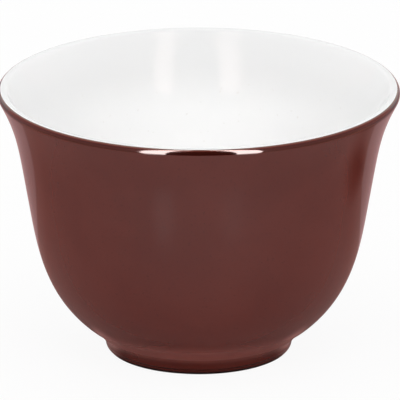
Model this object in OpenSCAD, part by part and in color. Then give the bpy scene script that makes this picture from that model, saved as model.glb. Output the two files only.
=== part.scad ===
// Small handleless coffee cup of fired porcelain. A thin bowl with a flared lip stands on a
// low foot ring. A white glaze coat lines the inside and laps over the lip, a brown coat
// covers the outside down to the table, and a clear coat fills the recess under the floor.
// The origin is on the table, on the cup's axis, and every piece is a solid of revolution.

/* [Bowl] */
// Outermost diameter, across the lip
rim_d = 76; // [70:0.5:84]
// Height of the lip above the table
cup_h = 51.5; // [47:0.5:58]
// Outside diameter at the throat, where the side stops swelling and starts to flare
throat_d = 64.7; // [61:0.1:68]
// Height of the throat above the table
throat_z = 30; // [26:0.5:34]
// Thickness of the side at the throat, glaze coats included
wall_t = 2.4; // [1.8:0.1:3.2]
// Thickness of the rounded lip, glaze coats included
lip_t = 2; // [1.4:0.1:2.6]
// Thickness of the wall low on the belly, where the inside starts to round to the floor
belly_t = 3.2; // [2.6:0.1:4.2]
// Thickness of the floor at its middle, glaze coats included
floor_t = 3.4; // [2.6:0.1:4.6]

/* [Curve] */
// Lean of the underside where it leaves the foot, in degrees from upright
under_lean = 60; // [54:1:66]
// Degrees by which the side at the throat is steeper than the line from throat to lip
throat_turn = 5.4; // [2:0.2:8]
// Degrees by which the outside just under the lip leans out further than that line
flare_turn = 12.6; // [8:0.2:18]
// Reach of the underside's curve from the foot, as a share of the span up to the throat
under_share = 0.44; // [0.36:0.01:0.5]
// Reach of the belly's curve down from the throat, as a share of the same span
belly_share = 0.31; // [0.24:0.01:0.4]
// Reach of the side's curve up from the throat, as a share of the span up to the lip
side_share = 0.49; // [0.38:0.01:0.56]
// Reach of the flare's curve down from the lip, as a share of the same span
flare_share = 0.36; // [0.28:0.01:0.44]
// Place along the underside's curve beside which the inside starts to round to the floor
round_share = 0.42; // [0.34:0.01:0.5]
// Reach of the floor's flat middle, as a share of the way to the corner it would make
floor_share = 0.8; // [0.7:0.01:0.88]
// Reach of the inside's round down from the belly, as a share of the way to that corner
inside_share = 0.5; // [0.4:0.01:0.6]

/* [Foot] */
// Outside diameter of the foot ring where it meets the bowl
foot_d = 35.8; // [32:0.2:40]
// Height of the ring, from the table to its seat under the bowl
foot_h = 3; // [2.4:0.1:4.5]
// Width of the bare ring at its seat
foot_wall = 3.4; // [2.8:0.1:4.4]
// Lean of the ring's outer wall, inwards to the table, in degrees
foot_taper = 7; // [2:1:11]
// Lean of the ring's inner wall, outwards to the table, in degrees
foot_draft = 5; // [2:1:8]
// Rounding of the ring's outer bottom edge
foot_edge_r = 1.2; // [0.8:0.1:1.4]
// Rounding of the ring's inner bottom edge
recess_edge_r = 0.7; // [0.5:0.1:0.9]
// Rise of the recess ceiling from the ring to the axis
recess_dome = 0.4; // [0.1:0.1:0.8]

/* [Glaze] */
// Thickness of each glaze coat
glaze_t = 0.3; // [0.2:0.05:0.4]
// Height above the table at which the coats stop, which leaves the standing face bare
bare_h = 0.2; // [0.1:0.05:0.3]
// Reach of the glaze pooled in the corner between foot and bowl, and in the recess
pool_reach = 1.2; // [0.8:0.1:1.5]
// Place on the lip's round where brown meets white, in degrees above level
colour_turn = 80; // [65:1:88]

/* [Hidden] */

BISQUE = [0.9, 0.87, 0.82];
WHITE = [0.97, 0.97, 0.96];
BROWN = [0.37, 0.21, 0.195];

// Points along one curve of the bowl, one arc of the lip, one small edge and the recess
side_steps = 24;
lip_steps = 8;
edge_steps = 6;
dome_steps = 8;
// Flats round the axis in the preview
ring_steps = 180;

// Shapes of a curve

// Point at share t of a cubic curve with its four control points
function curve_at(c, t) =
    pow(1 - t, 3) * c[0] + 3 * pow(1 - t, 2) * t * c[1]
    + 3 * (1 - t) * t * t * c[2] + t * t * t * c[3];

// Unit direction of travel there
function heading_at(c, t) =
    let (d = pow(1 - t, 2) * (c[1] - c[0]) + 2 * (1 - t) * t * (c[2] - c[1])
             + t * t * (c[3] - c[2]))
    d / norm(d);

// The direction to the right of a heading, which is outwards on a side that climbs
function right_of(d) = [d.y, -d.x];

// Unit direction that leans by an angle from upright, outwards as it climbs
function leaning(a) = [sin(a), cos(a)];

// A cubic curve from a to b that leaves and arrives with the given leans
function swept(a, b, lean_a, lean_b, reach_a, reach_b) =
    [a, a + reach_a * leaning(lean_a), b - reach_b * leaning(lean_b), b];

// Points of an arc, both ends included
function arc(centre, r, from, to, steps) =
    [for (k = [0:steps]) let (a = from + (to - from) * k / steps)
        centre + r * [cos(a), sin(a)]];

// Points of a soft corner that starts at a, heads for the corner and ends at b
function soft_corner(a, corner, b, steps) =
    [for (k = [0:steps]) let (t = k / steps)
        pow(1 - t, 2) * a + 2 * (1 - t) * t * corner + t * t * b];

// A share that eases in and out
function eased(t) = t * t * (3 - 2 * t);

function reversed(list) = [for (k = [len(list) - 1:-1:0]) list[k]];
function without_first(list) = [for (k = [1:len(list) - 1]) list[k]];
function moved(list, by) = [for (p = list) p + by];

// Shares 0 to 1, or from a later start
function shares(steps, start = 0) = [for (k = [0:steps]) start + (1 - start) * k / steps];

// Outside of the bowl

foot_r = foot_d / 2;
lip_r = lip_t / 2;
foot_corner = [foot_r, foot_h];
throat = [throat_d / 2, throat_z];
lip_centre = [rim_d / 2 - lip_r, cup_h - lip_r];

// Leans from upright: of the line from the throat to the lip's widest place, of the side at
// the throat and of the outside just under the lip
rise_lean = atan2(rim_d / 2 - throat.x, lip_centre.y - throat.y);
side_lean = rise_lean - throat_turn;
lip_lean = rise_lean + flare_turn;

lip_join = lip_centre + lip_r * right_of(leaning(lip_lean));
lower_span = norm(throat - foot_corner);
upper_span = norm(lip_join - throat);

under_curve = swept(foot_corner, throat, under_lean, side_lean,
    under_share * lower_span, belly_share * lower_span);
flare_curve = swept(throat, lip_join, side_lean, lip_lean,
    side_share * upper_span, flare_share * upper_span);

// Side of the bowl at a depth below the outside, upwards from a start share of the underside
function outside_line(depth, start = 0) = concat(
    [for (t = shares(side_steps, start))
        curve_at(under_curve, t) - depth * right_of(heading_at(under_curve, t))],
    without_first([for (t = shares(side_steps))
        curve_at(flare_curve, t) - depth * right_of(heading_at(flare_curve, t))]));

// Rounded lip at a depth below its surface: the brown share and the white share
function lip_brown(depth) =
    arc(lip_centre, lip_r - depth, -lip_lean, colour_turn, lip_steps);
function lip_white(depth) =
    arc(lip_centre, lip_r - depth, colour_turn, 180 - lip_lean, lip_steps);

// Inside of the bowl

floor_z = foot_h + recess_dome - glaze_t + floor_t;
floor_middle = [0, floor_z];
round_heading = heading_at(under_curve, round_share);
round_top = curve_at(under_curve, round_share) - belly_t * right_of(round_heading);
// Corner that the floor and the wall would make without the round between them
round_corner =
    [round_top.x - (round_top.y - floor_z) * round_heading.x / round_heading.y, floor_z];
round_curve = [
    floor_middle,
    floor_middle + floor_share * (round_corner - floor_middle),
    round_top + inside_share * (round_corner - round_top),
    round_top];

// Thickness beside the underside's curve above the round, and beside the flare's curve
function belly_thickness(t) =
    belly_t + (wall_t - belly_t) * eased((t - round_share) / (1 - round_share));
function side_thickness(t) = wall_t + (lip_t - wall_t) * eased(t);

// Inside face at a depth below its surface, from the axis out and up to the lip
function inside_line(depth) = concat(
    [for (t = shares(side_steps))
        curve_at(round_curve, t) + depth * right_of(heading_at(round_curve, t))],
    without_first([for (t = shares(side_steps, round_share))
        curve_at(under_curve, t)
            - (belly_thickness(t) - depth) * right_of(heading_at(under_curve, t))]),
    without_first([for (t = shares(side_steps))
        curve_at(flare_curve, t)
            - (side_thickness(t) - depth) * right_of(heading_at(flare_curve, t))]));

// Foot ring

seat_out = foot_r - glaze_t;
seat_in = seat_out - foot_wall;

// Radius of the bare ring's walls at a height
function ring_out(z) = seat_out - (foot_h - z) * tan(foot_taper);
function ring_in(z) = seat_in + (foot_h - z) * tan(foot_draft);

// Centres of the two rounded bottom edges
edge_out = [ring_out(foot_edge_r) - foot_edge_r / cos(foot_taper), foot_edge_r];
edge_in = [ring_in(recess_edge_r) + recess_edge_r / cos(foot_draft), recess_edge_r];
down = -90;
// Places on the two edges where the coats stop
bare_out = -asin((foot_edge_r - bare_h) / foot_edge_r);
bare_in = -180 + asin((recess_edge_r - bare_h) / recess_edge_r);

// The glazed stretch of each edge, upwards, and the bare stretch down to the table
glazed_edge_out = arc(edge_out, foot_edge_r, bare_out, -foot_taper, edge_steps);
bare_edge_out = arc(edge_out, foot_edge_r, down, bare_out, edge_steps);
glazed_edge_in = arc(edge_in, recess_edge_r, bare_in, foot_draft - 180, edge_steps);
bare_edge_in = arc(edge_in, recess_edge_r, down, bare_in, edge_steps);

// Recess under the floor

ceiling = [for (t = shares(dome_steps)) [t * seat_in, foot_h + recess_dome * (1 - t * t)]];

// Radius of the coated inner wall, and the corner it makes with the coated ceiling
function coated_in(z) = ring_in(z) - glaze_t;
recess_z = foot_h - glaze_t;
recess_corner = [coated_in(recess_z), recess_z];
flat_r = recess_corner.x - pool_reach;
function coated_ceiling(r) =
    [r, recess_z + recess_dome * (1 - pow(r / recess_corner.x, 2))];
recess_line = concat(
    [for (t = shares(dome_steps)) coated_ceiling(t * flat_r)],
    without_first(soft_corner(coated_ceiling(flat_r), recess_corner,
        [coated_in(recess_z - pool_reach), recess_z - pool_reach], edge_steps)));

// Corner between foot and bowl, filled with pooled glaze

pool_z = foot_h - pool_reach;
// Share of the underside's curve that the pool covers
pool_share = pool_reach / (3 * under_share * lower_span);
pool_line = soft_corner([ring_out(pool_z) + glaze_t, pool_z], foot_corner,
    curve_at(under_curve, pool_share), edge_steps);

module turned(outline) {
    rotate_extrude($fn = ring_steps) polygon(outline);
}

// Fired clay of the bowl, with a flat seat for the foot ring on its underside
module porcelain_bowl() {
    color(BISQUE) turned(concat(
        ceiling,
        [[seat_out, foot_h]],
        outside_line(glaze_t),
        without_first(lip_brown(glaze_t)),
        without_first(lip_white(glaze_t)),
        without_first(reversed(inside_line(glaze_t)))));
}

// Separate clay ring that the bowl stands on. Its standing face stays bare.
module foot_ring() {
    color(BISQUE) turned(concat(
        bare_edge_out,
        without_first(glazed_edge_out),
        [[seat_out, foot_h], [seat_in, foot_h]],
        reversed(glazed_edge_in),
        without_first(reversed(bare_edge_in))));
}

// White coat over the inside and the top of the lip
module inner_glaze() {
    color(WHITE) turned(concat(
        reversed(inside_line(0)),
        inside_line(glaze_t),
        without_first(reversed(lip_white(glaze_t))),
        lip_white(0)));
}

// Brown coat from the lip down over the bowl, the pooled corner and the foot
module outer_glaze() {
    color(BROWN) turned(concat(
        moved(glazed_edge_out, [glaze_t, 0]),
        pool_line,
        without_first(outside_line(0, pool_share)),
        without_first(lip_brown(0)),
        reversed(lip_brown(glaze_t)),
        without_first(reversed(outside_line(glaze_t))),
        [[seat_out, foot_h]],
        reversed(glazed_edge_out)));
}

// Clear coat over the ceiling of the recess and the inside of the ring
module base_glaze() {
    color(WHITE) turned(concat(
        ceiling,
        reversed(glazed_edge_in),
        moved(glazed_edge_in, [-glaze_t, 0]),
        reversed(recess_line)));
}

porcelain_bowl();
foot_ring();
inner_glaze();
outer_glaze();
base_glaze();
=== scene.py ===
# %% [markdown]
# A small coffee cup, turned and glazed
#
# This lesson dresses the solids of a handleless porcelain coffee cup. The solids already
# hold the real sizes: a thrown bowl, a foot ring luted under it, and three coats of glaze.
# Blender's part is what the eye sees, which on a glazed cup is almost only reflections.
# A reflection shows every flat and every wobble of a surface, so the pieces are turned
# again here on the same outline as the solids, and the visible coats much more finely.

# %% Load the solids
import math

import bpy
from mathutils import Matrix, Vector, noise


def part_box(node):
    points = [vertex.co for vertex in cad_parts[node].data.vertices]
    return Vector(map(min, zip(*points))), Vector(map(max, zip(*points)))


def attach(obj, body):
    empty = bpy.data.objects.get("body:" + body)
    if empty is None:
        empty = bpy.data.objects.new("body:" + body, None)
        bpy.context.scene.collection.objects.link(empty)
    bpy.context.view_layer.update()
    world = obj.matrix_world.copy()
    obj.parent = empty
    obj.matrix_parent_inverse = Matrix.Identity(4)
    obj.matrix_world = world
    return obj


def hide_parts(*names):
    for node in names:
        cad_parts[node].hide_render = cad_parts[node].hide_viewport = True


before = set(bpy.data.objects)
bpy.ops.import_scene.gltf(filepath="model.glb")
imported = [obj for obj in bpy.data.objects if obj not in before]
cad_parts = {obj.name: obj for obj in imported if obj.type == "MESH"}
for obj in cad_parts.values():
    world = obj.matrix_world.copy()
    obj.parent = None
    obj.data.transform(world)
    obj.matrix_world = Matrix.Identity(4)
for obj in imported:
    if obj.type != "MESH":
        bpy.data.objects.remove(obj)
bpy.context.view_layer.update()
MM = 0.001


def in_mm(corners):
    """Corners of a box in millimetres, rounded for printing."""
    return [[round(v / MM, 2) for v in corner] for corner in corners]


print("nodes", sorted(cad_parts))

# %% [markdown]
# The potter's measurements
#
# A cup like this is drawn as one half outline and turned round its axis. The sizes are the
# same ones that drive the solids, in millimetres. The rim, the height and the foot are
# read from the solids' own boxes, so the coats can't drift away from what they cover. The
# throat is where the side leans least, given as a radius and a height.

# %% Main sizes
GLAZE = 0.3
LIP = 2.0
THROAT = (32.35, 30.0)
FOOT_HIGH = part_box("foot_ring")[1][2] / MM
FOOT_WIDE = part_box("foot_ring")[1][0] / MM + GLAZE
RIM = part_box("outer_glaze")[1][0] / MM
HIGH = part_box("inner_glaze")[1][2] / MM
print("rim", round(RIM, 3), "height", round(HIGH, 3), "foot", round(FOOT_WIDE, 3))

# %% [markdown]
# Smooth curves for a smooth profile
#
# The side of the cup is two cubic curves that meet at the throat with the same lean, so no
# crease shows there. Four points draw such a curve: its two ends, and two handles that say
# how it leaves and how it arrives. A line through many measured points would also follow
# every small mistake in them, and glaze shows each one. The curve's heading is needed as
# well, because a coat is laid square to the surface, not sideways.

# %% Curves and headings


def leaning(degrees):
    """Unit direction that leans outwards from upright by an angle."""
    return Vector((math.sin(math.radians(degrees)), math.cos(math.radians(degrees))))


def right_of(heading):
    """Direction to the right of a heading, which is outwards on the way up the cup."""
    return Vector((heading.y, -heading.x))


def swept(start, end, leans, reaches):
    """Control points of a curve, from the lean and the reach of the handle at each end.

    A reach is a share of the straight way between the ends.
    """
    span = (end - start).length
    return (start, start + reaches[0] * span * leaning(leans[0]),
            end - reaches[1] * span * leaning(leans[1]), end)


def curve_at(points, t):
    """Point of the curve at share t."""
    a, b, c, d = points
    return (1 - t) ** 3 * a + 3 * (1 - t) ** 2 * t * b + 3 * (1 - t) * t * t * c + t ** 3 * d


def outwards_at(points, t):
    """Unit direction square to the curve at share t, to the right of its travel."""
    a, b, c, d = points
    travel = (1 - t) ** 2 * (b - a) + 2 * (1 - t) * t * (c - b) + t * t * (d - c)
    travel.normalize()
    return right_of(travel)


print("a lean of 60 degrees heads", [round(v, 2) for v in leaning(60)])

# %% [markdown]
# The outside of the bowl
#
# From the foot the underside spreads out flat, turns up through the belly and reaches the
# throat, where the side leans least. Above it the side flares to the lip, which is half a
# circle. The leans are set against the straight line from throat to rim, and the handles
# are shares of what each curve spans, so a wider or taller cup keeps its character.

# %% Outside curves
UNDER_LEAN = 60.0
THROAT_TURN = 5.4
FLARE_TURN = 12.6
UNDER_REACHES = (0.44, 0.31)
FLARE_REACHES = (0.49, 0.36)
foot_corner = Vector((FOOT_WIDE, FOOT_HIGH))
throat = Vector(THROAT)
lip_round = LIP / 2
lip_centre = Vector((RIM - lip_round, HIGH - lip_round))
rise = math.degrees(math.atan2(RIM - throat.x, lip_centre.y - throat.y))
side_lean = rise - THROAT_TURN
lip_lean = rise + FLARE_TURN
lip_join = lip_centre + lip_round * right_of(leaning(lip_lean))
underside = swept(foot_corner, throat, (UNDER_LEAN, side_lean), UNDER_REACHES)
flare = swept(throat, lip_join, (side_lean, lip_lean), FLARE_REACHES)
print("side leans", round(side_lean, 2), "and", round(lip_lean, 2), "degrees")

# %% [markdown]
# The inside of the bowl
#
# A thrown wall is thickest low on the belly and thins to the lip. So the inside isn't drawn
# on its own: it is the outside moved in by a thickness that changes smoothly. Only the
# floor has a curve of its own, flat on the axis and rounding up into the wall.

# %% Inside curve
WALL = 2.4
BELLY_WALL = 3.2
FLOOR = 3.4
DOME = 0.4
ROUND_FROM = 0.42
FLOOR_REACH = 0.8
BELLY_REACH = 0.5
floor_high = FOOT_HIGH + DOME - GLAZE + FLOOR
floor_middle = Vector((0, floor_high))
round_out = outwards_at(underside, ROUND_FROM)
round_top = curve_at(underside, ROUND_FROM) - BELLY_WALL * round_out
drop = round_top.y - floor_high
round_corner = Vector((round_top.x + drop * round_out.y / round_out.x, floor_high))
floor_round = (floor_middle, floor_middle.lerp(round_corner, FLOOR_REACH),
               round_top.lerp(round_corner, BELLY_REACH), round_top)


def eased(t):
    """A share that eases in and out."""
    return t * t * (3 - 2 * t)


def belly_wall(t):
    """Thickness of the wall beside the underside's curve."""
    return BELLY_WALL + (WALL - BELLY_WALL) * eased((t - ROUND_FROM) / (1 - ROUND_FROM))


def side_wall(t):
    """Thickness of the wall beside the flare's curve."""
    return WALL + (LIP - WALL) * eased(t)


print("inside floor is", round(floor_high, 2), "mm above the table")

# %% [markdown]
# The foot ring
#
# The ring is a low band with a slight taper, and both its bottom edges are rounded so that
# it doesn't scratch the table. The coats stop a little above the table, because glaze that
# touched the kiln shelf would stick to it.

# %% Foot ring edges
RING_WALL = 3.4
OUT_TAPER = 7.0
IN_DRAFT = 5.0
OUT_EDGE = 1.2
IN_EDGE = 0.7
seat_out = FOOT_WIDE - GLAZE
seat_in = seat_out - RING_WALL


def ring_out(z):
    """Radius of the bare ring's outer wall at a height."""
    return seat_out - (FOOT_HIGH - z) * math.tan(math.radians(OUT_TAPER))


def ring_in(z):
    """Radius of the bare ring's inner wall at a height."""
    return seat_in + (FOOT_HIGH - z) * math.tan(math.radians(IN_DRAFT))


edge_out = Vector((ring_out(OUT_EDGE) - OUT_EDGE / math.cos(math.radians(OUT_TAPER)), OUT_EDGE))
edge_in = Vector((ring_in(IN_EDGE) + IN_EDGE / math.cos(math.radians(IN_DRAFT)), IN_EDGE))
print("standing face from", round(edge_in.x, 2), "to", round(edge_out.x, 2), "mm radius")

# %% [markdown]
# Turning an outline into a mesh
#
# Blender's Screw modifier could spin an outline, but it can't let the outline change on the
# way round. Real glaze never stops on a perfect circle, so the mesh is made in code: one
# closed outline per angle, all with the same number of points, joined with four-sided
# faces. Points on the axis become one vertex. Every piece is a closed shell, so it can be
# printed or weighed as well as rendered.

# %% The wheel
TURNS = 288
ON_AXIS = 1e-6


def turn_piece(name, outline_at):
    """Mesh object from a closed outline of (radius, height) points for every angle."""
    rings = [outline_at(2 * math.pi * k / TURNS) for k in range(TURNS)]
    count = len(rings[0])
    on_axis = [all(ring[i].x < ON_AXIS for ring in rings) for i in range(count)]
    verts = []
    index = []
    for i in range(count):
        if on_axis[i]:
            index.append([len(verts)] * TURNS)
            verts.append((0, 0, rings[0][i].y * MM))
            continue
        index.append(list(range(len(verts), len(verts) + TURNS)))
        for k, ring in enumerate(rings):
            angle = 2 * math.pi * k / TURNS
            r = ring[i].x * MM
            verts.append((r * math.cos(angle), r * math.sin(angle), ring[i].y * MM))
    faces = []
    for i in range(count):
        j = (i + 1) % count
        if on_axis[i] and on_axis[j]:
            continue
        for k in range(TURNS):
            m = (k + 1) % TURNS
            corners = [index[i][k], index[i][m], index[j][m], index[j][k]]
            faces.append(list(dict.fromkeys(corners)))
    mesh = bpy.data.meshes.new(name)
    mesh.from_pydata(verts, [], faces)
    mesh.validate()
    mesh.polygons.foreach_set("use_smooth", [True] * len(mesh.polygons))
    piece = bpy.data.objects.new(name, mesh)
    bpy.context.collection.objects.link(piece)
    print(name, len(verts), "vertices", len(faces), "faces")
    return piece


print("one step of the wheel is", 360 / TURNS, "degrees")

# %% [markdown]
# What keeps it from looking like a computer's cup
#
# A glaze melts and moves a little before it freezes. Its surface swells by a few microns
# over a centimetre, and the line where a coat stops wanders by a hair. Both come from
# smooth noise that is sampled on a circle, so that it closes on itself. Each use has a
# seed of its own, so that no two lines wander alike.

# %% Small wanderings
# Millimetres, and degrees for the turn and the wander of the line
SWELL = 0.006
SWELL_SIZE = 11.0
COLOUR_TURN = 62.0
LINE_WANDER = 2.5
BARE = 0.2
BARE_WANDER = 0.05


def wander(angle, lumps, seed):
    """Smooth noise round the cup, about -1 to 1, with roughly this many lumps."""
    reach = lumps / (2 * math.pi)
    return noise.noise(Vector((math.cos(angle) * reach, math.sin(angle) * reach, seed)))


def swell(point, angle, seed):
    """Small rise of the melted surface at a place on the cup, in millimetres."""
    place = Vector((point.x * math.cos(angle), point.x * math.sin(angle), point.y))
    return SWELL * noise.noise(place / SWELL_SIZE + Vector((0, 0, seed)))


def colour_turn(angle):
    """Place on the lip's round where brown meets white, in degrees above level."""
    return COLOUR_TURN + LINE_WANDER * wander(angle, lumps=9, seed=3.7)


def coat_stop(angle, edge, lumps, seed):
    """Angle below level, on a rounded edge of a radius, at which a coat stops."""
    bare = BARE + BARE_WANDER * wander(angle, lumps, seed)
    return math.degrees(math.asin((edge - bare) / edge))


print("brown meets white at", round(colour_turn(0), 1), "and", round(colour_turn(math.pi), 1),
      "degrees on the right and the left")

# %% [markdown]
# Parts of every outline
#
# Arcs, rounded corners and moved curves make up every outline that follows. Where a coat
# stops, surface tension draws it into a rolled edge, so its end is a small round and not a
# cut. The melt's swell is laid on the visible face alone, and it fades out at both ends of
# the face, so that neighbouring coats still meet.

# %% Helpers for outlines
# Points over which the swell fades out, and steps of a rolled edge
FADE = 6
BEAD_FINE = 5


def shares(steps, start=0.0):
    """Even shares from a start to 1."""
    return [start + (1 - start) * k / steps for k in range(steps + 1)]


def arc(centre, radius, first, last, steps):
    """Points of an arc between two angles in degrees."""
    turns = [math.radians(first + (last - first) * k / steps) for k in range(steps + 1)]
    return [centre + radius * Vector((math.cos(a), math.sin(a))) for a in turns]


def soft_corner(start, corner, end, steps):
    """Points of a round that leaves start for the corner and arrives at end."""
    return [(1 - t) ** 2 * start + 2 * (1 - t) * t * corner + t * t * end
            for t in shares(steps)]


def moved_in(curve, depth_at, steps, start=0.0):
    """Points of a curve from a share up, each moved inwards by its own depth."""
    return [curve_at(curve, t) - depth_at(t) * outwards_at(curve, t)
            for t in shares(steps, start)]


def shifted(points, sideways):
    """The same points moved outwards by a length."""
    return [p + Vector((sideways, 0)) for p in points]


def rolled_edge(clay, sideways, first, last):
    """Round end of a coat that lies to one side of a point of the clay."""
    return arc(clay + Vector((sideways / 2, 0)), GLAZE / 2, first, last, BEAD_FINE)


def raised(points, angle, seed):
    """The same points with the melt's swell, square to the line between neighbours."""
    result = []
    last = len(points) - 1
    for i, point in enumerate(points):
        travel = points[min(i + 1, last)] - points[max(i - 1, 0)]
        travel.normalize()
        fade = min(1.0, i / FADE, (last - i) / FADE)
        result.append(point + fade * swell(point, angle, seed) * right_of(travel))
    return result


crest = arc(lip_centre, lip_round, 90, 0, 1)[0]
print("the lip's crest is at radius", round(crest.x, 2), "and height", round(crest.y, 2), "mm")

# %% [markdown]
# The brown coat
#
# The outside coat starts just above the table with a rolled edge, climbs the ring, fills
# the corner under the bowl with a small pool, and follows the outside to the top of the
# lip. It could be a second solid cut from the first, but drawn as one outline it has a
# clean hidden face that lies on the clay, and a point wherever a curve needs one.

# %% Turn the brown coat
# Steps of each stretch, the angle that a rolled edge keeps from the clay, and the points
# that the face leaves free for it
FINE = 56
PLAIN = 20
LIP_FINE = 22
EDGE_FINE = 10
BEAD_TUCK = 20
BEAD_CLEAR = 2
# Millimetres
HAIR = 0.01
POOL_DOWN = 2.0
POOL_UP = 4.5
# A cubic curve leaves its start at three times the length of the first handle per share
pool_share = POOL_UP / (3 * UNDER_REACHES[0] * (throat - foot_corner).length)


def side_at(depth, steps, start=0.0):
    """Outside of the bowl at a depth below its surface, from a share of the underside up."""
    low = moved_in(underside, lambda t: depth, steps, start)
    return low + moved_in(flare, lambda t: depth, steps)[1:]


def brown_outline(angle):
    """Closed outline of the brown coat at one angle."""
    stop = coat_stop(angle, OUT_EDGE, lumps=14, seed=8.1)
    clay = arc(edge_out, OUT_EDGE, -stop, -OUT_TAPER, EDGE_FINE)
    bead = rolled_edge(clay[0], GLAZE, BEAD_TUCK - 180, -stop / 2)
    pool_low = foot_corner.y - POOL_DOWN
    pool = soft_corner(Vector((ring_out(pool_low) + GLAZE, pool_low)), foot_corner,
                       curve_at(underside, pool_share), EDGE_FINE)
    lip = arc(lip_centre, lip_round, -lip_lean, colour_turn(angle), LIP_FINE)
    face = shifted(clay[BEAD_CLEAR:], GLAZE) + pool + side_at(0, FINE, pool_share)[1:] + lip[1:]
    deep = GLAZE - HAIR
    lip_back = arc(lip_centre, lip_round - deep, colour_turn(angle), -lip_lean, LIP_FINE // 2)
    back = side_at(deep, PLAIN)[::-1]
    seat = [Vector((seat_out + HAIR, FOOT_HIGH))]
    ring = shifted(clay[::-1], HAIR)
    return bead + raised(face, angle, seed=1.3) + lip_back + back[1:] + seat + ring


brown_coat = turn_piece("brown_coat", brown_outline)

# %% [markdown]
# The white coat
#
# The white lines the whole inside and laps over the lip up to the brown. Both coats use the
# same wandering line, so they meet with no gap. One skin with two finishes would show the
# same line, but as pieces of their own the coats can be looked at one by one.

# %% Turn the white coat


def inside_at(depth, steps):
    """Inside of the bowl at a depth below its surface, from the axis to the lip."""
    low = moved_in(floor_round, lambda t: -depth, steps)
    middle = moved_in(underside, lambda t: belly_wall(t) - depth, steps, ROUND_FROM)
    high = moved_in(flare, lambda t: side_wall(t) - depth, steps)
    return low + middle[1:] + high[1:]


def white_outline(angle):
    """Closed outline of the white coat at one angle."""
    lip = arc(lip_centre, lip_round, 180 - lip_lean, colour_turn(angle), LIP_FINE)
    face = raised(inside_at(0, FINE // 2) + lip[1:], angle, seed=5.9)
    deep = GLAZE - HAIR
    lip_back = arc(lip_centre, lip_round - deep, colour_turn(angle), 180 - lip_lean,
                   LIP_FINE // 2)
    back = inside_at(deep, PLAIN)[::-1]
    return (face + lip_back + back[1:])[::-1]


white_coat = turn_piece("white_coat", white_outline)

# %% [markdown]
# Under the foot
#
# Turned over, the cup shows its standing ring of bare clay and a glazed recess. The recess
# has a slightly domed ceiling and a round where the glaze gathers in the corner. The ring
# is plain clay, so its outline is the same all the way round.

# %% Turn the recess coat and the ring
RECESS_POOL = 1.2
STANDING_STEPS = 4
recess_high = FOOT_HIGH - GLAZE
recess_corner = Vector((ring_in(recess_high) - GLAZE, recess_high))
flat_reach = recess_corner.x - RECESS_POOL


def ceiling(r, high, edge):
    """Point of the domed ceiling at a radius, for a dome that starts at an edge."""
    return Vector((r, high + DOME * (1 - (r / edge) ** 2)))


def recess_outline(angle):
    """Closed outline of the recess coat at one angle."""
    stop = coat_stop(angle, IN_EDGE, lumps=11, seed=2.4)
    clay = arc(edge_in, IN_EDGE, stop - 180, IN_DRAFT - 180, EDGE_FINE)
    bead = rolled_edge(clay[0], -GLAZE, -BEAD_TUCK, stop / 2 - 180)
    wall = shifted(clay[BEAD_CLEAR:], -GLAZE)
    pool_low = recess_high - RECESS_POOL
    pool = soft_corner(Vector((ring_in(pool_low) - GLAZE, pool_low)), recess_corner,
                       ceiling(flat_reach, recess_high, recess_corner.x), EDGE_FINE)
    top = [ceiling(t * flat_reach, recess_high, recess_corner.x)
           for t in reversed(shares(PLAIN))]
    hidden = [ceiling(t * (seat_in - HAIR), FOOT_HIGH - HAIR, seat_in) for t in shares(PLAIN)]
    ring = shifted(clay[::-1], -HAIR)
    return (bead + wall + pool + top[1:] + hidden + ring)[::-1]


def ring_outline(angle):
    """Closed outline of the clay ring, the same at every angle."""
    outer = arc(edge_out, OUT_EDGE, -90, -OUT_TAPER, EDGE_FINE)
    inner = arc(edge_in, IN_EDGE, IN_DRAFT - 180, -90, EDGE_FINE)
    seat = [Vector((seat_out, FOOT_HIGH)), Vector((seat_in, FOOT_HIGH))]
    standing = [Vector((edge_in.x + (edge_out.x - edge_in.x) * t, 0))
                for t in shares(STANDING_STEPS)[1:-1]]
    return outer + seat + inner + standing


recess_coat = turn_piece("recess_coat", recess_outline)
clay_ring = turn_piece("clay_ring", ring_outline)

# %% [markdown]
# The clay of the bowl
#
# Under the coats is the thrown bowl itself. Nothing of it shows, but it is what a printed
# or weighed cup is mostly made of, so it gets a clean closed mesh as well. It keeps the
# same plain steps as the hidden faces of the coats, so the two lie a hair apart all over.

# %% Turn the clay bowl


def bowl_outline(angle):
    """Closed outline of the clay bowl, the same at every angle."""
    under = [ceiling(t * seat_in, FOOT_HIGH, seat_in) for t in shares(PLAIN)]
    seat = [Vector((seat_out, FOOT_HIGH))]
    lip = arc(lip_centre, lip_round - GLAZE, -lip_lean, 180 - lip_lean, LIP_FINE)
    inner = inside_at(GLAZE, PLAIN)[::-1]
    return under + seat + side_at(GLAZE, PLAIN) + lip[1:] + inner[1:]


clay_bowl = turn_piece("clay_bowl", bowl_outline)

# %% [markdown]
# Which piece stands for which solid
#
# The five turned pieces take the places of the five solids. Nothing on the cup moves, so
# every piece rides on the one body.

# %% Places of the pieces
PLACES = [
    (brown_coat, "outer_glaze", "brown_glaze"),
    (white_coat, "inner_glaze", "white_glaze"),
    (recess_coat, "base_glaze", "clear_glaze"),
    (clay_ring, "foot_ring", "bisque"),
    (clay_bowl, "porcelain_bowl", "bisque"),
]
for piece, node, slot in PLACES:
    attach(piece, "root")
    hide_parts(node)
print(len(PLACES), "pieces placed")

# %% [markdown]
# Finishes
#
# A finish could be a painted picture wrapped round the cup, but a picture blurs up close
# and needs unwrapping. Here every finish is a Principled shader fed by noise in the cup's
# own coordinates, in metres, so that the grain has a real size and stays where it is when
# the camera moves. Raw noise stays near its middle, so a band of its values is spread out:
# a wide band makes soft clouds, and a narrow one near the top makes scattered specks.

# %% Helpers that read a place


def place_on(tree):
    """Place on the object, in metres from the middle of the cup's standing face."""
    return tree.nodes.new("ShaderNodeTexCoord").outputs["Object"]


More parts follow.
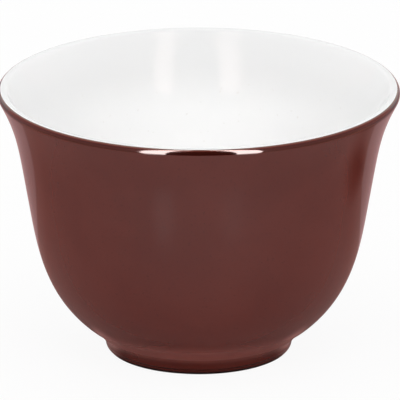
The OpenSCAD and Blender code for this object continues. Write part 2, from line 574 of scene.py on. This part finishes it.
def along(tree, axis):
    """Distance along an axis, in metres. Along Z it is the height above the table."""
    split = tree.nodes.new("ShaderNodeSeparateXYZ")
    tree.links.new(place_on(tree), split.inputs["Vector"])
    return split.outputs[axis]


def grain(tree, per_metre, detail=2.0, rough=0.5, twist=0.0):
    """Noise in the object's own coordinates, with a number of lumps per metre."""
    texture = tree.nodes.new("ShaderNodeTexNoise")
    texture.inputs["Scale"].default_value = per_metre
    texture.inputs["Detail"].default_value = detail
    texture.inputs["Roughness"].default_value = rough
    texture.inputs["Distortion"].default_value = twist
    tree.links.new(place_on(tree), texture.inputs["Vector"])
    return texture.outputs["Fac"]


print("lumps a millimetre apart are", round(1 / MM), "per metre")

# %% Helpers for bands and layers
# A band runs from where a layer is absent to where it is full
WIDE = (0.3, 0.7)
MIDDLE = (0.35, 0.65)


def remap(tree, value, band, to=(0, 1), smooth=True):
    """A band of values carried to a range, and held beyond the ends of the band."""
    node = tree.nodes.new("ShaderNodeMapRange")
    node.interpolation_type = "SMOOTHSTEP" if smooth else "LINEAR"
    node.inputs["From Min"].default_value = band[0]
    node.inputs["From Max"].default_value = band[1]
    node.inputs["To Min"].default_value = to[0]
    node.inputs["To Max"].default_value = to[1]
    tree.links.new(value, node.inputs["Value"])
    return node.outputs["Result"]


def combined(tree, operation, first, second):
    """Sum or product of two shares, itself a share."""
    node = tree.nodes.new("ShaderNodeMath")
    node.operation = operation
    node.use_clamp = True
    tree.links.new(first, node.inputs[0])
    tree.links.new(second, node.inputs[1])
    return node.outputs[0]


def layered(tree, ground, *layers):
    """Ground colour with other colours laid over it in turn, each by its share."""
    tone = None
    for share, colour in layers:
        mix = tree.nodes.new("ShaderNodeMix")
        mix.data_type = "RGBA"
        tree.links.new(share, mix.inputs["Factor"])
        under, over = [s for s in mix.inputs if s.type == "RGBA"]
        over.default_value = (*colour, 1)
        if tone is None:
            under.default_value = (*ground, 1)
        else:
            tree.links.new(tone, under)
        tone = [s for s in mix.outputs if s.type == "RGBA"][0]
    return tone


print("clouds spread the noise from", WIDE[0], "to", WIDE[1])

# %% Helpers for a whole finish


def new_finish(name):
    """Material with a plain Principled shader, its node tree and the shader."""
    finish = bpy.data.materials.new(name)
    finish.use_nodes = True
    return finish, finish.node_tree, finish.node_tree.nodes["Principled BSDF"]


def dress(tree, shader, colour, roughness, relief, depth):
    """Feed the shader a colour, a roughness and a relief of a depth in metres."""
    bump = tree.nodes.new("ShaderNodeBump")
    bump.inputs["Distance"].default_value = depth
    tree.links.new(relief, bump.inputs["Height"])
    tree.links.new(bump.outputs["Normal"], shader.inputs["Normal"])
    tree.links.new(colour, shader.inputs["Base Color"])
    tree.links.new(roughness, shader.inputs["Roughness"])


print("materials so far", len(bpy.data.materials))

# %% [markdown]
# Brown glaze
#
# The brown is an iron glaze: dark, slightly red, and so glossy that it is read by what it
# mirrors. It is never one flat colour. It clouds softly over a centimetre or two and holds
# tiny darker specks of iron. In the crease above the foot it pools, and a pool that cools
# slowly grows fine crystals, so there it is a little dull; its paler colour there is partly
# the pool and partly a painted light band. The roll under the lip's crest is painted nearly
# black, a painted dark reflection, and its rolled edge above the table is painted dark, a
# painted contact shadow. On the crest it runs thin over the white clay and breaks to a
# paler brown. All these places lie at a height of their own on a turned cup, so bands of
# height find them.

# %% Make the brown glaze
BROWN = (0.101, 0.0162, 0.0106)
BROWN_DEEP = (0.0895, 0.0133, 0.0085)
BROWN_SPECK = (0.052, 0.0085, 0.0060)
# Paler colour of the pool, partly the pool and partly a painted light band in the crease
BROWN_POOL_AND_PAINTED_LIGHT = (0.258, 0.0700, 0.0560)
# Painted dark reflection, near black, round the roll under the lip's crest
BROWN_PAINTED_DARK_REFLECTION = (0.022, 0.0030, 0.0020)
# Painted contact shadow on the rolled edge just above the table
BROWN_PAINTED_CONTACT_SHADOW = (0.014, 0.0025, 0.0018)
BROWN_THIN = (0.215, 0.135, 0.110)
# Lumps of noise per metre
BROWN_CLOUDS = 75
IRON_SPECKS = 2600
BROWN_SHEEN = 160
BROWN_PEEL = 520
# Bands of noise or of height
SPECK_BAND = (0.66, 0.74)
CREST = (51.14 * MM, 51.38 * MM)
ROLL_BOTTOM = (50.25 * MM, 50.50 * MM)
ROLL_TOP = (51.14 * MM, 51.03 * MM)
POOL_OVER = (8.5 * MM, 4.3 * MM)
POOL_UNDER = (2.2 * MM, 4.3 * MM)
CONTACT_SHADOW_BAND = (1.1 * MM, 1.1 * MM / 3)
# How strong each layer is where it is full
SPECK_FULL = 0.55
ROLL_FULL = 0.85
CONTACT_SHADOW_FULL = 0.9
CREST_FULL = 0.8
POOL_DULL = 0.30
BROWN_GLOSS = (0.045, 0.085)
BROWN_INDEX = 1.52
PEEL_DEPTH = 0.004 * MM


def make_brown():
    """Glossy iron glaze: clouds, specks, a dull pool partly painted pale as light, a painted
    dark reflection on the roll, a painted contact shadow and a pale crest.
    """
    finish, tree, shader = new_finish("brown_glaze")
    high = along(tree, "Z")
    clouds = remap(tree, grain(tree, BROWN_CLOUDS, detail=3, twist=0.4), WIDE)
    specks = remap(tree, grain(tree, IRON_SPECKS, detail=1), SPECK_BAND, (0, SPECK_FULL))
    # Where the glaze pools it is dulled, and its paler colour there is partly a painted light
    # band
    pool = combined(tree, "MULTIPLY", remap(tree, high, POOL_OVER),
                    remap(tree, high, POOL_UNDER))
    # Painted dark reflection round the roll under the crest
    painted_dark_roll = combined(tree, "MULTIPLY", remap(tree, high, ROLL_BOTTOM, (0, ROLL_FULL)),
                    remap(tree, high, ROLL_TOP))
    # Painted contact shadow on the rolled edge above the table
    edge = remap(tree, high, CONTACT_SHADOW_BAND, (0, CONTACT_SHADOW_FULL))
    thin_crest_and_rim_shade = remap(tree, high, CREST, (0, CREST_FULL))
    colour = layered(tree, BROWN_DEEP, (clouds, BROWN), (specks, BROWN_SPECK),
                     (pool, BROWN_POOL_AND_PAINTED_LIGHT), (painted_dark_roll, BROWN_PAINTED_DARK_REFLECTION), (edge, BROWN_PAINTED_CONTACT_SHADOW),
                     (thin_crest_and_rim_shade, BROWN_THIN))
    sheen = remap(tree, grain(tree, BROWN_SHEEN, detail=4), WIDE, BROWN_GLOSS)
    dulled = remap(tree, pool, (0, 1), (0, POOL_DULL))
    roughness = combined(tree, "ADD", sheen, dulled)
    dress(tree, shader, colour, roughness, grain(tree, BROWN_PEEL, detail=1), PEEL_DEPTH)
    shader.inputs["IOR"].default_value = BROWN_INDEX
    return finish


brown_coat.data.materials.append(make_brown())
print("brown roughness", BROWN_GLOSS, "and up to", POOL_DULL, "more in the pool")

# %% [markdown]
# White glaze
#
# The inside is a plain white tableware glaze. Its colour stays below pure white, so that
# the light can still model the bowl. It is brightest deep in the bowl and painted slightly
# greyer towards the rim, a painted shade on the upper wall. How strongly it mirrors is set
# low, so that the strip lights show in it only faintly. It keeps its gloss all the same:
# a rougher white would smear the strips and look like plaster.

# %% Make the white glaze
WHITE = (0.920, 0.920, 0.917)
WHITE_COOL = (0.908, 0.910, 0.909)
# Painted shade: the inside is painted greyer towards the rim
WHITE_RIM_SHADE = (0.806, 0.808, 0.808)
WHITE_PIN = (0.80, 0.79, 0.77)
WHITE_CLOUDS = 60
PINHOLES = 1500
WHITE_SHEEN = 140
WHITE_PEEL = 420
PIN_BAND = (0.80, 0.84)
PIN_FULL = 0.5
RIM_SHADE_BAND = (36 * MM, 46 * MM)
WHITE_GLOSS = (0.06, 0.10)
GLASS_INDEX = 1.5
WHITE_MIRROR = 0.035


def make_white():
    """Glossy white glaze with a faint cloud, a few pinholes and painted shade towards the rim.
    """
    finish, tree, shader = new_finish("white_glaze")
    clouds = remap(tree, grain(tree, WHITE_CLOUDS, detail=3), MIDDLE)
    # Painted shade, greyer towards the rim
    thin_crest_and_rim_shade = remap(tree, along(tree, "Z"), RIM_SHADE_BAND)
    pins = remap(tree, grain(tree, PINHOLES, detail=0), PIN_BAND, (0, PIN_FULL))
    colour = layered(tree, WHITE_COOL, (clouds, WHITE), (thin_crest_and_rim_shade, WHITE_RIM_SHADE), (pins, WHITE_PIN))
    sheen = remap(tree, grain(tree, WHITE_SHEEN, detail=4), WIDE, WHITE_GLOSS)
    dress(tree, shader, colour, sheen, grain(tree, WHITE_PEEL, detail=1), PEEL_DEPTH)
    shader.inputs["IOR"].default_value = GLASS_INDEX
    shader.inputs["Specular IOR Level"].default_value = WHITE_MIRROR
    return finish


white_coat.data.materials.append(make_white())
print("white roughness", WHITE_GLOSS)

# %% [markdown]
# Clear glaze and bare clay
#
# The recess is dipped in clear glaze, which shows the clay through a thin glassy layer and
# greys a little where it gathers. A glass shell over clay would show the same, but it costs
# many more light paths, so the clear glaze is a glossy shader in the colour of what lies
# under it. The ring's standing face is ground on a wheel after firing: matt, finely
# pitted, and slightly darker than clean clay.

# %% Make the clear glaze and the clay
CLEAR = (0.760, 0.755, 0.730)
CLEAR_POOL = (0.640, 0.665, 0.660)
CLAY = (0.740, 0.705, 0.655)
CLAY_DARK = (0.610, 0.565, 0.505)
CLAY_GROUND = (0.560, 0.540, 0.510)
CLEAR_SPECKS = 1700
CLEAR_SHEEN = 200
CLEAR_PEEL = 450
CLAY_GRAIN = 900
CLAY_PITS = 3200
CLEAR_SPECK_BAND = (0.70, 0.76)
CLEAR_SPECK_FULL = 0.5
GATHERED_BAND = (2.7 * MM, 1.6 * MM)
GROUND_BAND = (0.12 * MM, 0.02 * MM)
GROUND_FULL = 0.7
CLEAR_GLOSS = (0.06, 0.16)
CLAY_MATT = (0.95, 0.72)
CLAY_MIRROR = 0.3
CLEAR_PEEL_DEPTH = 0.010 * MM
PIT_DEPTH = 0.05 * MM


def make_clear():
    """Clear glaze over white clay, greyer where it gathers, with specks under it."""
    finish, tree, shader = new_finish("clear_glaze")
    gathered = remap(tree, along(tree, "Z"), GATHERED_BAND)
    specks = remap(tree, grain(tree, CLEAR_SPECKS, detail=1), CLEAR_SPECK_BAND,
                   (0, CLEAR_SPECK_FULL))
    colour = layered(tree, CLEAR, (gathered, CLEAR_POOL), (specks, CLAY_DARK))
    sheen = remap(tree, grain(tree, CLEAR_SHEEN, detail=4), WIDE, CLEAR_GLOSS)
    dress(tree, shader, colour, sheen, grain(tree, CLEAR_PEEL, detail=2), CLEAR_PEEL_DEPTH)
    shader.inputs["IOR"].default_value = GLASS_INDEX
    return finish


def make_clay():
    """Fired clay, grainy and matt, ground smoother and greyer on the standing face."""
    finish, tree, shader = new_finish("bisque")
    body = grain(tree, CLAY_GRAIN, detail=5, rough=0.6)
    ground = remap(tree, along(tree, "Z"), GROUND_BAND, (0, GROUND_FULL))
    colour = layered(tree, CLAY_DARK, (remap(tree, body, MIDDLE), CLAY), (ground, CLAY_GROUND))
    matt = remap(tree, body, WIDE, CLAY_MATT)
    dress(tree, shader, colour, matt, grain(tree, CLAY_PITS, detail=3), PIT_DEPTH)
    shader.inputs["Specular IOR Level"].default_value = CLAY_MIRROR
    return finish


clay_finish = make_clay()
recess_coat.data.materials.append(make_clear())
clay_ring.data.materials.append(clay_finish)
clay_bowl.data.materials.append(clay_finish)
print("finishes", sorted(m.name for m in bpy.data.materials))

# %% [markdown]
# How the glaze sees the table
#
# A dark glaze shows the table as a tone of its own, so that tone is set apart from what the
# camera sees. It is bright in front of the cup and dimmer and warmer to the sides. Behind
# the cup it is bright again and warm, and the cup's sides mirror that at a glancing angle,
# as pale bands along the edges. Table further out is seen only by the roll of the lip.
# Round patches then tune the tone near the cup: a painted shade by the foot, two faint pale
# spots in front that paint pale reflections on the body, a painted contact shadow in black
# where the ring touches, and a warm spot on each side of the foot, a painted reflection that
# brightens the ends of the crease.

# %% Tones that the glaze mirrors
MIRRORED_FRONT = (0.56, 0.56, 0.56)
MIRRORED_SIDE = (0.38, 0.215, 0.20)
MIRRORED_BEHIND = (0.56, 0.35, 0.35)
MIRRORED_FAR = (0.80, 0.38, 0.30)
FRONT_TO_SIDE = (-75 * MM, 24 * MM)
BEHIND_BAND = (47 * MM, 49 * MM)
FAR_BAND = (100 * MM, 116 * MM)
PAINTED_SHADE_BY_FOOT = (0.33, 0.25, 0.24)
PAINTED_PALE_REFLECTION = (0.90, 0.90, 0.90)
PAINTED_WARM_REFLECTION = (1.00, 0.64, 0.60)
BLACK = (0.0, 0.0, 0.0)
# Middle, radii where a patch starts and is full, all in mm, then its strength and colour
PATCHES = (
    # Painted shade of the cup on the table near the foot
    ((0, 0), (26.0, 19.0), 1.0, PAINTED_SHADE_BY_FOOT),
    # Painted pale reflections: two faint pale streaks on the front of the body
    ((-26, -75), (13.0, 2.0), 0.45, PAINTED_PALE_REFLECTION),
    ((26, -75), (13.0, 2.0), 0.25, PAINTED_PALE_REFLECTION),
    # Painted contact shadow, black where the ring touches the table
    ((0, 0), (17.8, 16.9), 1.0, BLACK),
    # Painted warm reflections that brighten the ends of the crease
    ((-19, -4), (7.0, 1.5), 0.9, PAINTED_WARM_REFLECTION),
    ((19, -4), (7.0, 1.5), 0.9, PAINTED_WARM_REFLECTION),
)


def distance(tree, place, point):
    """Distance of a place from a point, in metres."""
    node = tree.nodes.new("ShaderNodeVectorMath")
    node.operation = "DISTANCE"
    node.inputs[1].default_value = point
    tree.links.new(place, node.inputs[0])
    return node.outputs["Value"]


def mirrored_tone(tree):
    """Colour of the table in the glaze, by its place round the cup."""
    place = place_on(tree)
    deep = along(tree, "Y")
    layers = [
        (remap(tree, deep, FRONT_TO_SIDE, smooth=False), MIRRORED_SIDE),
        (remap(tree, distance(tree, place, (0, 0, 0)), FAR_BAND), MIRRORED_FAR),
        (remap(tree, deep, BEHIND_BAND), MIRRORED_BEHIND),
    ]
    # Patches of painted shade, painted contact shadow and painted reflections near the foot
    for (x, y), radii, strength, colour in PATCHES:
        away = distance(tree, place, (x * MM, y * MM, 0))
        band = [radius * MM for radius in radii]
        layers.append((remap(tree, away, band, (0, strength)), colour))
    return layered(tree, MIRRORED_FRONT, *layers)


print(len(PATCHES), "patches on the mirrored table")

# %% [markdown]
# The table
#
# A catalogue picture stands its object on nothing but white. The table is a real plane that
# takes the cup's shadow, but the camera sees it nearly as bright as the background. To the
# light that bounces about it is plain pale paper, and to reflections it is the tone from
# the last step. The Light Path node tells these three apart. The plane lies a hair below
# the ring, so that no two faces share a plane.

# %% Make the table
TABLE_HALF = 3.0
TABLE_DOWN = 0.02 * MM
PAPER = 0.84
SEEN_WHITE = 0.92


def emptied(holder):
    """Node tree of a material or the world, with nothing in it."""
    holder.use_nodes = True
    holder.node_tree.nodes.clear()
    return holder.node_tree


def diffuse(tree):
    """Matt surface."""
    return tree.nodes.new("ShaderNodeBsdfDiffuse")


def mixed(tree, amount, first, second):
    """Mix of two shaders, by a number or by what a socket says."""
    node = tree.nodes.new("ShaderNodeMixShader")
    if isinstance(amount, float):
        node.inputs["Fac"].default_value = amount
    else:
        tree.links.new(amount, node.inputs["Fac"])
    tree.links.new(first.outputs[0], node.inputs[1])
    tree.links.new(second.outputs[0], node.inputs[2])
    return node


def put_out(tree, shader, kind="Material"):
    """Send a shader to the output of a material or the world."""
    out = tree.nodes.new("ShaderNodeOutput" + kind)
    tree.links.new(shader.outputs[0], out.inputs["Surface"])


def table_finish():
    """White to the camera with a faint shadow, a set tone in the glaze, and else paper."""
    finish = bpy.data.materials.new("table")
    tree = emptied(finish)
    ray = tree.nodes.new("ShaderNodeLightPath")
    paper = diffuse(tree)
    paper.inputs["Color"].default_value = (PAPER, PAPER, PAPER, 1)
    mirrored = diffuse(tree)
    tree.links.new(mirrored_tone(tree), mirrored.inputs["Color"])
    seen = mixed(tree, SEEN_WHITE, paper, tree.nodes.new("ShaderNodeEmission"))
    unseen = mixed(tree, ray.outputs["Is Glossy Ray"], paper, mirrored)
    put_out(tree, mixed(tree, ray.outputs["Is Camera Ray"], unseen, seen))
    return finish


def stage_piece(name, corners, finish):
    """Flat four-sided piece that belongs to the stage, not to the cup."""
    mesh = bpy.data.meshes.new(name)
    mesh.from_pydata(corners, [], [(0, 1, 2, 3)])
    mesh.materials.append(finish)
    piece = bpy.data.objects.new(name, mesh)
    bpy.context.collection.objects.link(piece)
    return piece


table_corners = [(x * TABLE_HALF, y * TABLE_HALF, -TABLE_DOWN)
                 for x, y in ((-1, -1), (1, -1), (1, 1), (-1, 1))]
stage_piece("table", table_corners, table_finish())
print("table is", 2 * TABLE_HALF, "m wide")

# %% [markdown]
# Cards for the glaze to mirror
#
# A studio lights glossy things with large soft lamps and paints their reflections with
# pale and dark boards. Here both are cards that only reflections see, so their shine can
# be set without burning out the white inside, and a card can stand where a board would
# block the light. Each card glows in one colour at the table and another at a height.

# %% Helpers for cards
ROOM_TURN = math.radians(1.15)


def glow(name, low, high, blends_to):
    """Emission that changes from one colour at the table to another at a height."""
    finish = bpy.data.materials.new(name)
    tree = emptied(finish)
    light = tree.nodes.new("ShaderNodeEmission")
    share = remap(tree, along(tree, "Z"), (0, blends_to))
    tree.links.new(layered(tree, low, (share, high)), light.inputs["Color"])
    put_out(tree, light)
    return finish


def card(name, corners, finish, turn=0.0):
    """Flat card that shows only in reflections, turned round the cup by an angle."""
    piece = stage_piece(name, corners, finish)
    piece.rotation_euler.z = turn
    piece.visible_camera = False
    piece.visible_diffuse = False
    piece.visible_shadow = False
    piece.visible_transmission = False


def across(edge, side):
    """An edge in metres, on the left (-1) or the right (1)."""
    return [(x * side * MM, y * MM, z * MM) for x, y, z in edge]


def bent(name, first, second, finish):
    """Row of cards between two edges that have as many points."""
    for k in range(len(first) - 1):
        corners = [first[k], second[k], second[k + 1], first[k + 1]]
        card(name + "_" + str(k), corners, finish, ROOM_TURN)


print("the room is turned", round(math.degrees(ROOM_TURN), 2), "degrees to the right")

# %% [markdown]
# Strip lights
#
# Two tall strips stand in front, left and right of the camera, and draw the bright bars on
# the lip. They are dim near the table and slightly warm above, and their tops bend towards
# each other. A dark gap between them and a dark backing behind keep the lip dark between
# its bars. The whole room is turned a degree to the right, which places the bars.

# %% Strips and what is behind them
# Points from the table up, in mm, for the right side. The left side mirrors them.
INNER_EDGE = ((33, -105, 1), (62, -200, 110), (62, -200, 200), (58, -200, 211),
              (50, -200, 216), (39, -200, 219))
OUTER_EDGE = ((40, -76, 1), (121, -200, 110), (121, -200, 208), (112, -200, 217),
              (99, -200, 224), (60, -200, 229))
INNER_TOP = ((62, -200, 232), (62, -200, 2000))
OUTER_TOP = ((121, -200, 232), (121, -200, 2000))
BACKING = ((121, -201, 110), (121, -201, 2000))
STRIP_DIM = (4.0, 4.0, 4.0)
STRIP_BRIGHT = (26.0, 20.6, 19.8)
STRIP_FULL_AT = 30 * MM
strip = glow("strip_light", STRIP_DIM, STRIP_BRIGHT, STRIP_FULL_AT)
dark = glow("dark_room", BLACK, BLACK, MM)
bent("dark_gap", across(INNER_EDGE[:2], -1), across(INNER_EDGE[:2], 1), dark)
bent("backing", across(BACKING, -1), across(BACKING, 1), dark)
for side, name in ((-1, "left"), (1, "right")):
    bent("strip_" + name, across(INNER_EDGE, side), across(OUTER_EDGE, side), strip)
    bent("strip_top_" + name, across(INNER_TOP, side), across(OUTER_TOP, side), strip)
print("each strip has", len(INNER_EDGE) + len(INNER_TOP) - 2, "cards")

# %% [markdown]
# Walls
#
# Beyond the strips the sides of the cup would mirror plain white and look like plastic.
# Warm walls, a little brighter near the table, give them the deep red glow of the glaze.
# They start at the outer edges of the strips and go round to behind the cup.

# %% Make the walls
WALL_LOW = (1.30, 0.50, 0.46)
WALL_HIGH = (0.88, 0.45, 0.43)
WALL_BLENDS_TO = 400 * MM
WALL_FAR = 0.6
WALL_BOTTOM = 1 * MM
WALL_TOP = 1.5
wall_near = OUTER_EDGE[1][0] * MM
wall_front = OUTER_EDGE[1][1] * MM
wall = glow("red_wall", WALL_LOW, WALL_HIGH, WALL_BLENDS_TO)


def stand_wall(name, start, end):
    """Upright wall between two places on the table."""
    corners = [(*start, WALL_BOTTOM), (*end, WALL_BOTTOM), (*end, WALL_TOP), (*start, WALL_TOP)]
    card(name, corners, wall, ROOM_TURN)


for side, name in ((-1, "left"), (1, "right")):
    corner = (WALL_FAR * side, wall_front)
    stand_wall("front_wall_" + name, (wall_near * side, wall_front), corner)
    stand_wall("side_wall_" + name, corner, (WALL_FAR * side, WALL_FAR))
print("walls reach", WALL_TOP, "m up")

# %% [markdown]
# A soft flag
#
# A photographer takes light away with a flag, which is a small dark board. This one stands
# close to the cup on its right and makes the dark patch beside the right edge. A plain
# black card would show its corners in the glaze, so this one fades out from its middle.

# %% Hang the flag
FLAG = ((58, -14, 10), (58, 30, 10), (58, 30, 34), (58, -14, 34))
FLAG_MIDDLE = (0, 8 * MM, 22 * MM)
FLAG_SQUASH = (0, 0.5, 1)
FLAG_BAND = (9.5 * MM, 0.5 * MM)
FLAG_FULL = 0.90


def soft_shade(name):
    """Black that fades to nothing away from the flag's middle, twice as long as high."""
    finish = bpy.data.materials.new(name)
    tree = emptied(finish)
    squash = tree.nodes.new("ShaderNodeVectorMath")
    squash.operation = "MULTIPLY"
    squash.inputs[1].default_value = FLAG_SQUASH
    tree.links.new(place_on(tree), squash.inputs[0])
    middle = [m * s for m, s in zip(FLAG_MIDDLE, FLAG_SQUASH)]
    away = distance(tree, squash.outputs[0], middle)
    share = remap(tree, away, FLAG_BAND, (0, FLAG_FULL))
    black = tree.nodes.new("ShaderNodeEmission")
    black.inputs["Strength"].default_value = 0.0
    put_out(tree, mixed(tree, share, tree.nodes.new("ShaderNodeBsdfTransparent"), black))
    return finish


card("soft_flag", across(FLAG, 1), soft_shade("soft_flag"))
print("the flag fades out", round(FLAG_BAND[0] / MM, 1), "mm above its middle")

# %% [markdown]
# The world
#
# The world is white to the camera and in reflections, and a plain pale light for all else.
# A real white backdrop would have to be lit as well, and that light would spill on the
# cup. Here the background and the light on the cup are set apart.

# %% Make the world
AMBIENT = 0.70


def background(tree, strength):
    """Plain white background of a strength."""
    node = tree.nodes.new("ShaderNodeBackground")
    node.inputs["Strength"].default_value = strength
    return node


def make_world():
    """White for the camera, glass and reflections, plain light for everything else."""
    world = bpy.data.worlds.new("studio")
    tree = emptied(world)
    ray = tree.nodes.new("ShaderNodeLightPath").outputs
    seen = combined(tree, "ADD", ray["Is Camera Ray"], ray["Is Transmission Ray"])
    shows_white = combined(tree, "ADD", seen, ray["Is Glossy Ray"])
    put_out(tree, mixed(tree, shows_white, background(tree, AMBIENT), background(tree, 1.0)),
            "World")
    bpy.context.scene.world = world


make_world()
print("ambient light", AMBIENT)

# %% [markdown]
# The lamps
#
# One large lamp overhead, a pair in front and a pair at the sides shade the cup softly and
# put its faint shadow on the table. One strong lamp would be simpler, but it would leave a
# hard shadow and a dark far side. No reflection sees the lamps, because the cards stand
# there in their place.

# %% Hang the lamps
# Place on the right in metres, height aimed at, side of the square lamp, brightness
OVERHEAD = ((0, -0.25, 1.2), 0.03, 0.9, 2.0)
FRONT = ((0.45, -0.85, 0.60), 0.02, 0.4, 3.6)
SIDE = ((0.9, 0.45, 0.25), 0.02, 0.5, 4.0)


def soft_lamp(name, side, place, aim_high, size, shine):
    """Square lamp on the left (-1) or the right (1) that no reflection sees."""
    data = bpy.data.lights.new(name, "AREA")
    data.shape = "SQUARE"
    data.size = size
    data.energy = shine * math.pi * size * size
    lamp = bpy.data.objects.new(name, data)
    bpy.context.collection.objects.link(lamp)
    x, y, z = place
    lamp.location = (x * side, y, z)
    aim = Vector((0, 0, aim_high)) - Vector((x * side, y, z))
    lamp.rotation_euler = aim.to_track_quat("-Z", "Y").to_euler()
    lamp.visible_glossy = False


soft_lamp("overhead", 1, *OVERHEAD)
for side in (-1, 1):
    soft_lamp("front", side, *FRONT)
    soft_lamp("side", side, *SIDE)
print(len(bpy.data.lights), "lamps")

# %% [markdown]
# The camera
#
# The photograph looks down on the cup by a bit over eighteen degrees, from far away, since
# the rim's ellipse hardly narrows towards the back. Fitting the cup's outline to the
# picture gave the distance, the scale and the place of the cup's middle in the frame, and
# the camera is aimed so that this place falls where it does in the picture.

# %% Aim the camera
# Pixels of the photograph: its width, and the cup's middle in it
PHOTO = 400
MIDDLE_AT = (198.74, 217.69)
PX_PER_MM = 5.279
LOOK_DOWN = math.radians(18.6)
AWAY = 2.0
MIDDLE_HIGH = 25.5 * MM
SENSOR = 36.0
SEES_TO = 20.0

middle = Vector((0, 0, MIDDLE_HIGH))
towards = Vector((0, -math.cos(LOOK_DOWN), math.sin(LOOK_DOWN)))
up = Vector((0, math.sin(LOOK_DOWN), math.cos(LOOK_DOWN)))
right = Vector((1, 0, 0))
px = MM / PX_PER_MM
aim_at = middle + right * (PHOTO / 2 - MIDDLE_AT[0]) * px + up * (MIDDLE_AT[1] - PHOTO / 2) * px
camera_data = bpy.data.cameras.new("camera")
camera = bpy.data.objects.new("camera", camera_data)
bpy.context.collection.objects.link(camera)
camera.location = middle + towards * AWAY
camera.rotation_euler = (aim_at - camera.location).to_track_quat("-Z", "Y").to_euler()
camera_data.sensor_width = SENSOR
camera_data.lens = PX_PER_MM / MM * AWAY / PHOTO * SENSOR
camera_data.clip_end = SEES_TO
bpy.context.scene.camera = camera
bpy.context.scene.view_settings.view_transform = "Standard"
print("camera lens", round(camera_data.lens, 1), "mm, aimed at", in_mm([aim_at])[0])
